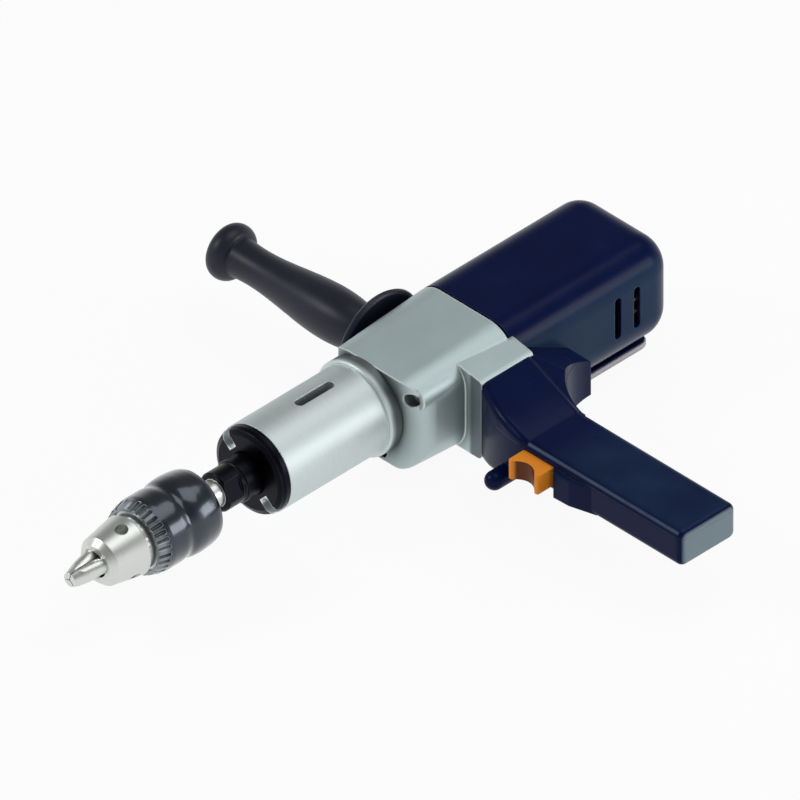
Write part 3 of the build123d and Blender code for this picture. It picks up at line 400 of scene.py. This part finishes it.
# The grip: painted sheen on its top, a painted highlight on its front edge, a painted reflection on its end
gripPlastic = layOver(makeMoulded("gripPolyamide", navyPolyamide), (gripTopSheenMask, slateSheen["slate"]),
                      (gripEdgeHighlightMask, gripSheen["edgeHighlight"]), (gripEndSheenMask, gripSheen["paleSheen"]))
nodeFinishes = {
    "front_ring": layOver(makeTurnedMetal("notchedSteel", blackenedSteel), (notchLightMask, ringNotch["bare"])),
    "chuck_sleeve": layOver(finishes["sleeve_steel"], (toothWearGlintMask, sleeveTeeth["worn"])),
    "handle_shell": gripPlastic, "handle_cover": gripPlastic,
    # The motor housing's flat sides carry a painted sheen
    "motor_housing": layOver(finishes["navy_plastic"], (sideSheenMask, slateSheen["slate"])),
    # Painted shade on the neck's shoulder and on the gear housing's front and pad
    "neck_sleeve": layOver(finishes["turned_aluminium"], (neckShoulderShadeMask, shoulderShade["colour"])),
    "gear_housing": layOver(makeCastAluminium("shadedAluminium"), (flangeShadeMask, shoulderShade["colour"]),
                            (padFrontShadeMask, shoulderShade["padColour"])),
}
for entry in frame["record"]["subparts"]:
    mesh = nodes[entry["node"]].data
    mesh.materials.clear()
    mesh.materials.append(nodeFinishes.get(entry["node"], finishes[entry["material_slot"]]))
print("materials on", len(nodes), "nodes")


sharpEdge = {"grown": 30, "reshaped": 34}  # degrees from which an edge stays sharp


def smoothMesh(mesh, degrees):
    mesh.shade_smooth()
    mesh.set_sharp_from_angle(angle=math.radians(degrees))


def addObject(name, data):
    thing = bpy.data.objects.new(name, data)
    bpy.context.scene.collection.objects.link(thing)
    return thing


def startTree(name, sizes):
    tree = bpy.data.node_groups.new(name, "GeometryNodeTree")
    tree.interface.new_socket("Geometry", in_out="OUTPUT", socket_type="NodeSocketGeometry")
    tree.interface.new_socket("Geometry", in_out="INPUT", socket_type="NodeSocketGeometry")
    for label, kind in sizes.items():
        tree.interface.new_socket(label, in_out="INPUT", socket_type="NodeSocket" + kind)
    start = addNode(tree, "NodeGroupInput").outputs
    end = addNode(tree, "NodeGroupOutput")
    return tree, start, end


def growPiece(name, points, tree, sizes):
    mesh = bpy.data.meshes.new(name)
    mesh.from_pydata(points, [], [])
    piece = addObject(name, mesh)
    modifier = piece.modifiers.new(name, "NODES")
    modifier.node_group = tree
    for item in tree.interface.items_tree:
        if item.name in sizes:
            modifier[item.identifier] = sizes[item.name]
    grown = piece.evaluated_get(bpy.context.evaluated_depsgraph_get())
    plain = bpy.data.meshes.new_from_object(grown)
    piece.modifiers.remove(modifier)
    piece.data = plain
    smoothMesh(plain, sharpEdge["grown"])
    print(name, "faces", len(plain.polygons))
    return piece


# Screws: a knurled, chamfered head with a star or hexagon recess, on a plain shank, one at each point
screwShape = {"crownShare": 0.9, "shankSides": 24}  # the same on every screw
cornerScrews = {
    "places": [(0.0355, 0.100, 0.019), (0.0135, 0.100, -0.027), (-0.020, 0.100, -0.023)],
    "Head Radius": 0.00456, "Head Height": 0.004, "Chamfer": 0.0004, "Knurls": 30, "Knurl Share": 0.03,
    "Recess Points": 3, "Recess Inner": 0.0025, "Recess Outer": 0.0025, "Recess Depth": 0.0025,
    "Shank Radius": 0.00298, "Shank Length": 0.0265, "Head Way": (0, -1, 0),
}
handleScrews = {
    "places": [(0.150, 0.148, -0.0075), (0.214, 0.136, -0.0075), (0.086, 0.144, -0.0075)],
    "Head Radius": 0.00336, "Head Height": 0.0024, "Chamfer": 0.0006, "Knurls": 20, "Knurl Share": 0.0,
    "Recess Points": 4, "Recess Inner": 0.0006, "Recess Outer": 0.0021, "Recess Depth": 0.0016,
    "Shank Radius": 0.00178, "Shank Length": 0.01968, "Head Way": (0, 0, -1),
}


def makeScrewTree():
    tree, start, end = startTree("sunkScrews", {
        "Head Radius": "Float", "Head Height": "Float", "Chamfer": "Float", "Knurls": "Int", "Knurl Share": "Float",
        "Recess Points": "Int", "Recess Inner": "Float", "Recess Outer": "Float", "Recess Depth": "Float",
        "Shank Radius": "Float", "Shank Length": "Float", "Head Way": "Vector", "Metal": "Material"})
    # Outlines: a rim with every second point drawn in for the knurl, and the recess
    twice = addNode(tree, "ShaderNodeMath", {1: 2}, {0: start["Knurls"]}, operation="MULTIPLY")
    circle = addNode(tree, "GeometryNodeCurvePrimitiveCircle",
                     links={"Resolution": twice.outputs[0], "Radius": start["Head Radius"]})
    index = addNode(tree, "GeometryNodeInputIndex")
    odd = addNode(tree, "ShaderNodeMath", {1: 2}, {0: index.outputs[0]}, operation="MODULO")
    dent = addNode(tree, "ShaderNodeMath", links={0: odd.outputs[0], 1: start["Knurl Share"]}, operation="MULTIPLY")
    share = addNode(tree, "ShaderNodeMath", {0: 1.0}, {1: dent.outputs[0]}, operation="SUBTRACT")
    position = addNode(tree, "GeometryNodeInputPosition")
    moved = addNode(tree, "ShaderNodeVectorMath", links={0: position.outputs[0], "Scale": share.outputs[0]},
                    operation="SCALE")
    rim = addNode(tree, "GeometryNodeSetPosition",
                  links={"Geometry": circle.outputs[0], "Position": moved.outputs[0]})
    star = addNode(tree, "GeometryNodeCurveStar", links={
        "Points": start["Recess Points"], "Inner Radius": start["Recess Inner"],
        "Outer Radius": start["Recess Outer"]})
    # Three flat faces at the depth of the recess: the ring round it, its floor, and a disc that faces down
    outline = addNode(tree, "GeometryNodeJoinGeometry", links={0: [rim.outputs[0], star.outputs[0]]})
    ring = addNode(tree, "GeometryNodeFillCurve", links={0: outline.outputs[0]})
    bottom = addNode(tree, "GeometryNodeFillCurve", links={0: star.outputs[0]})
    disc = addNode(tree, "GeometryNodeFillCurve", links={0: rim.outputs[0]})
    turned = addNode(tree, "GeometryNodeFlipFaces", links={0: disc.outputs[0]})
    deep = addNode(tree, "ShaderNodeMath", links={0: start["Head Height"], 1: start["Recess Depth"]},
                   operation="SUBTRACT")
    lift = addNode(tree, "ShaderNodeCombineXYZ", links={"Z": deep.outputs[0]})
    raised, sunk, under = [
        addNode(tree, "GeometryNodeTransform", links={"Geometry": flat.outputs[0], "Translation": lift.outputs[0]})
        for flat in (ring, bottom, turned)]
    # The ring grows up to the chamfered crown and the disc down to the underside, and all become one closed head
    straight = addNode(tree, "ShaderNodeMath", links={0: start["Recess Depth"], 1: start["Chamfer"]},
                       operation="SUBTRACT")
    collar = addNode(tree, "GeometryNodeExtrudeMesh", {"Individual": False},
                     {"Mesh": raised.outputs[0], "Offset Scale": straight.outputs[0]})
    crown = addNode(tree, "GeometryNodeExtrudeMesh", {"Individual": False},
                    {"Mesh": collar.outputs["Mesh"], "Selection": collar.outputs["Top"],
                     "Offset Scale": start["Chamfer"]})
    upper = addNode(tree, "GeometryNodeScaleElements", {"Scale": screwShape["crownShare"]},
                    {"Geometry": crown.outputs["Mesh"], "Selection": crown.outputs["Top"]})
    lower = addNode(tree, "GeometryNodeExtrudeMesh", {"Individual": False},
                    {"Mesh": under.outputs[0], "Offset Scale": deep.outputs[0]})
    shells = addNode(tree, "GeometryNodeJoinGeometry",
                     links={0: [upper.outputs[0], sunk.outputs[0], lower.outputs[0]]})
    head = addNode(tree, "GeometryNodeMergeByDistance", {"Distance": mergeDistance}, {"Geometry": shells.outputs[0]})
    # The shank hangs from the head's underside
    shank = addNode(tree, "GeometryNodeMeshCylinder", {"Vertices": screwShape["shankSides"]},
                    {"Radius": start["Shank Radius"], "Depth": start["Shank Length"]})
    half = addNode(tree, "ShaderNodeMath", {1: -0.5}, {0: start["Shank Length"]}, operation="MULTIPLY")
    drop = addNode(tree, "ShaderNodeCombineXYZ", links={"Z": half.outputs[0]})
    lowered = addNode(tree, "GeometryNodeTransform",
                      links={"Geometry": shank.outputs[0], "Translation": drop.outputs[0]})
    screw = addNode(tree, "GeometryNodeJoinGeometry", links={0: [head.outputs[0], lowered.outputs[0]]})
    way = addNode(tree, "FunctionNodeAlignRotationToVector", links={"Vector": start["Head Way"]}, axis="Z")
    placed = addNode(tree, "GeometryNodeInstanceOnPoints", links={
        "Points": start["Geometry"], "Instance": screw.outputs[0], "Rotation": way.outputs[0]})
    real = addNode(tree, "GeometryNodeRealizeInstances", links={0: placed.outputs[0]})
    painted = addNode(tree, "GeometryNodeSetMaterial", links={"Geometry": real.outputs[0], "Material": start["Metal"]})
    tree.links.new(painted.outputs[0], end.inputs[0])
    return tree


screwTree = makeScrewTree()
for name, s, node in (("cornerScrews", cornerScrews, "corner_screws"), ("handleScrews", handleScrews, "handle_screws")):
    screws = growPiece(name, s["places"], screwTree, dict(s, Metal=finishes["bright_steel"]))
    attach(screws, "housing")
    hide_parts(node)
print("screws placed")


# Two pieces keep their CAD shape but for one surface: the trigger's hollow and the sleeve's waist
# The profile gives the sleeve's radius from the collar back, and flatAngle is in degrees
sleeveWaist = {"outside": 0.0229, "flatAngle": 0.5,
               "profile": ((-0.0925, 0.0235), (-0.0900, 0.0240), (-0.0800, 0.0240), (-0.0780, 0.02385),
                           (-0.0764, 0.0235), (-0.0748, 0.0232), (-0.0734, 0.0232), (-0.0718, 0.0238),
                           (-0.0704, 0.0243), (-0.0690, 0.0246), (-0.0670, 0.02485), (-0.0645, 0.0250))}


def deepenHollow(shape):
    s = triggerHollow
    for corner in shape.verts:
        offset = (corner.co.x - s["middle"]) / s["halfWidth"]
        if abs(offset) < 1 and corner.co.y < s["behind"]:
            corner.co.y += s["deepen"] * (1 - offset ** 2)


def fromAxis(corner):
    return math.hypot(corner.co.x, corner.co.z)


def cutAtProfile(shape):
    # Flat triangles of the outside are joined first, so that the cuts run clean across them
    s = sleeveWaist
    front = s["profile"][0][0]
    outer = [edge for edge in shape.edges
             if all(end.co.y > front and fromAxis(end) > s["outside"] for end in edge.verts)]
    bmesh.ops.dissolve_limit(shape, angle_limit=math.radians(s["flatAngle"]), verts=[], edges=outer)
    for place, _ in s["profile"]:
        whole = shape.verts[:] + shape.edges[:] + shape.faces[:]
        bmesh.ops.bisect_plane(shape, geom=whole, dist=mergeDistance, plane_co=(0, place, 0), plane_no=(0, 1, 0))


def drawInWaist(shape):
    s = sleeveWaist
    cutAtProfile(shape)
    for corner in shape.verts:
        radius = fromAxis(corner)
        if radius < s["outside"]:
            continue
        for (y0, r0), (y1, r1) in zip(s["profile"], s["profile"][1:]):
            if y0 < corner.co.y <= y1:
                wanted = r0 + (r1 - r0) * (corner.co.y - y0) / (y1 - y0)
                corner.co.x *= wanted / radius
                corner.co.z *= wanted / radius
                break


def reshapeNode(node, name, body, material, reshape):
    shape = bmesh.new()
    shape.from_mesh(nodes[node].data)
    bmesh.ops.remove_doubles(shape, verts=shape.verts, dist=mergeDistance)
    reshape(shape)
    mesh = bpy.data.meshes.new(name)
    shape.to_mesh(mesh)
    shape.free()
    if mesh.has_custom_normals:  # the CAD's own, which no longer fit
        mesh.attributes.remove(mesh.attributes["custom_normal"])
    smoothMesh(mesh, sharpEdge["reshaped"])
    mesh.materials.append(material)
    piece = addObject(name, mesh)
    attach(piece, body)
    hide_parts(node)
    print(name, "faces", len(mesh.polygons))


# The trigger's orange is painted dark in its hollow: painted shade
shadedAcetal = layOver(makeMoulded("shadedAcetal", orangeAcetal), (hollowShadeMask, triggerHollow["hollowShade"]))
reshapeNode("trigger", "scoopedTrigger", "trigger", shadedAcetal, deepenHollow)
reshapeNode("chuck_sleeve", "waistedSleeve", "sleeve", nodeFinishes["chuck_sleeve"], drawInWaist)


# Bumper strip: a rounded section swept along the edge of the foot plate
footStrip = {"places": [(0.008, 0.2425, -0.0425)], "Width": 0.0524, "Length": 0.0854, "Corner": 0.0062,
             "Thickness": 0.0014, "Height": 0.0034, "cornerSteps": 8, "sectionSteps": 4, "roundShare": 0.4}


def makeStripTree():
    s = footStrip
    tree, start, end = startTree("footStrip", {
        "Width": "Float", "Length": "Float", "Corner": "Float", "Thickness": "Float", "Height": "Float",
        "Rubber": "Material"})
    edge = addNode(tree, "GeometryNodeCurvePrimitiveQuadrilateral",
                   links={"Width": start["Width"], "Height": start["Length"]})
    path = addNode(tree, "GeometryNodeFilletCurve", {"Count": s["cornerSteps"]},
                   {"Curve": edge.outputs[0], "Radius": start["Corner"]}, mode="POLY")
    section = addNode(tree, "GeometryNodeCurvePrimitiveQuadrilateral",
                      links={"Width": start["Thickness"], "Height": start["Height"]})
    rounding = addNode(tree, "ShaderNodeMath", {1: s["roundShare"]}, {0: start["Thickness"]}, operation="MULTIPLY")
    soft = addNode(tree, "GeometryNodeFilletCurve", {"Count": s["sectionSteps"]},
                   {"Curve": section.outputs[0], "Radius": rounding.outputs[0]}, mode="POLY")
    swept = addNode(tree, "GeometryNodeCurveToMesh",
                    links={"Curve": path.outputs[0], "Profile Curve": soft.outputs[0]})
    placed = addNode(tree, "GeometryNodeInstanceOnPoints",
                     links={"Points": start["Geometry"], "Instance": swept.outputs[0]})
    real = addNode(tree, "GeometryNodeRealizeInstances", links={0: placed.outputs[0]})
    painted = addNode(tree, "GeometryNodeSetMaterial",
                      links={"Geometry": real.outputs[0], "Material": start["Rubber"]})
    tree.links.new(painted.outputs[0], end.inputs[0])
    return tree


strip = growPiece("footStrip", footStrip["places"], makeStripTree(),
                  dict(footStrip, Rubber=makeMoulded("greyElastomer", greyElastomer)))
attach(strip, "housing")
print("foot strip swept")


# Pale studio: the floor is white to the eye and in reflections, with a soft shadow, under a sky that dims upwards
studio = {
    "floorSize": 6.0, "gap": 0.0001, "floorColour": "#f4f5f5", "white": "#ffffff", "glow": 0.92,
    "horizon": 0.95, "zenith": 0.25, "dusk": 0.54,
    "azimuth": 45.0, "elevation": 36.9, "viewWidth": 0.46, "lookAt": (0.0124, 0.1043, 0.0), "distance": 1.6,
}
lamps = {
    "topBox": {"place": (0.22, 0.48, 1.2), "size": 0.9, "power": 4.6},
    "keyBox": {"place": (-0.84, -0.77, 0.89), "size": 0.3, "power": 5.0},
    "rimBox": {"place": (1.10, 0.88, 0.39), "size": 0.56, "power": 4.8},
}


def makeFloor():
    s = studio
    level = cadBounds[0][2] - s["gap"]
    half = s["floorSize"] / 2
    mesh = bpy.data.meshes.new("studioFloor")
    corners = [(-half, -half, level), (half, -half, level), (half, half, level), (-half, half, level)]
    mesh.from_pydata(corners, [], [(0, 1, 2, 3)])
    floor = addObject("studioFloor", mesh)
    material = bpy.data.materials.new("studioPaper")
    material.use_nodes = True
    tree = material.node_tree
    tree.nodes.remove(tree.nodes["Principled BSDF"])
    paper = addNode(tree, "ShaderNodeBsdfDiffuse", {"Color": linearColour(s["floorColour"])})
    glow = addNode(tree, "ShaderNodeEmission", {"Color": linearColour(s["white"]), "Strength": 1.0})
    rays = addNode(tree, "ShaderNodeLightPath")
    seen = addNode(tree, "ShaderNodeMath", links={0: rays.outputs["Is Camera Ray"], 1: rays.outputs["Is Glossy Ray"]},
                   operation="MAXIMUM")
    share = addNode(tree, "ShaderNodeMath", {1: s["glow"]}, {0: seen.outputs[0]}, operation="MULTIPLY")
    mixed = addNode(tree, "ShaderNodeMixShader", links={0: share.outputs[0], 1: paper.outputs[0], 2: glow.outputs[0]})
    tree.links.new(mixed.outputs[0], tree.nodes["Material Output"].inputs["Surface"])
    mesh.materials.append(material)


def makeWorld():
    s = studio
    world = bpy.data.worlds.new("studioWorld")
    bpy.context.scene.world = world
    world.use_nodes = True
    tree = world.node_tree
    place = addNode(tree, "ShaderNodeTexCoord").outputs["Generated"]
    height = addNode(tree, "ShaderNodeSeparateXYZ", links={0: place})
    level = addNode(tree, "ShaderNodeMapRange",
                    {"From Max": s["dusk"], "To Min": s["horizon"], "To Max": s["zenith"]},
                    {"Value": height.outputs["Z"]}, interpolation_type="SMOOTHSTEP")
    back = tree.nodes["Background"]
    back.inputs["Color"].default_value = linearColour(s["white"])
    tree.links.new(level.outputs["Result"], back.inputs["Strength"])


def turnTowards(thing, way):
    thing.rotation_euler = way.to_track_quat("-Z", "Y").to_euler()


def makeLamps():
    target = Vector(studio["lookAt"])
    for name, s in lamps.items():
        light = bpy.data.lights.new(name, "AREA")
        light.energy = s["power"]
        light.size = s["size"]
        lamp = addObject(name, light)
        lamp.location = s["place"]
        turnTowards(lamp, target - lamp.location)


def makeCamera():
    s = studio
    azimuth = math.radians(s["azimuth"])
    elevation = math.radians(s["elevation"])
    outward = Vector((math.sin(azimuth) * math.cos(elevation), -math.cos(azimuth) * math.cos(elevation),
                      math.sin(elevation)))
    lens = bpy.data.cameras.new("photoCamera")
    lens.type = "ORTHO"
    lens.ortho_scale = s["viewWidth"]
    camera = addObject("photoCamera", lens)
    camera.location = Vector(s["lookAt"]) + outward * s["distance"]
    turnTowards(camera, -outward)
    bpy.context.scene.camera = camera


makeFloor()
makeWorld()
makeLamps()
makeCamera()
bpy.context.scene.view_settings.view_transform = "Standard"
print("studio ready")
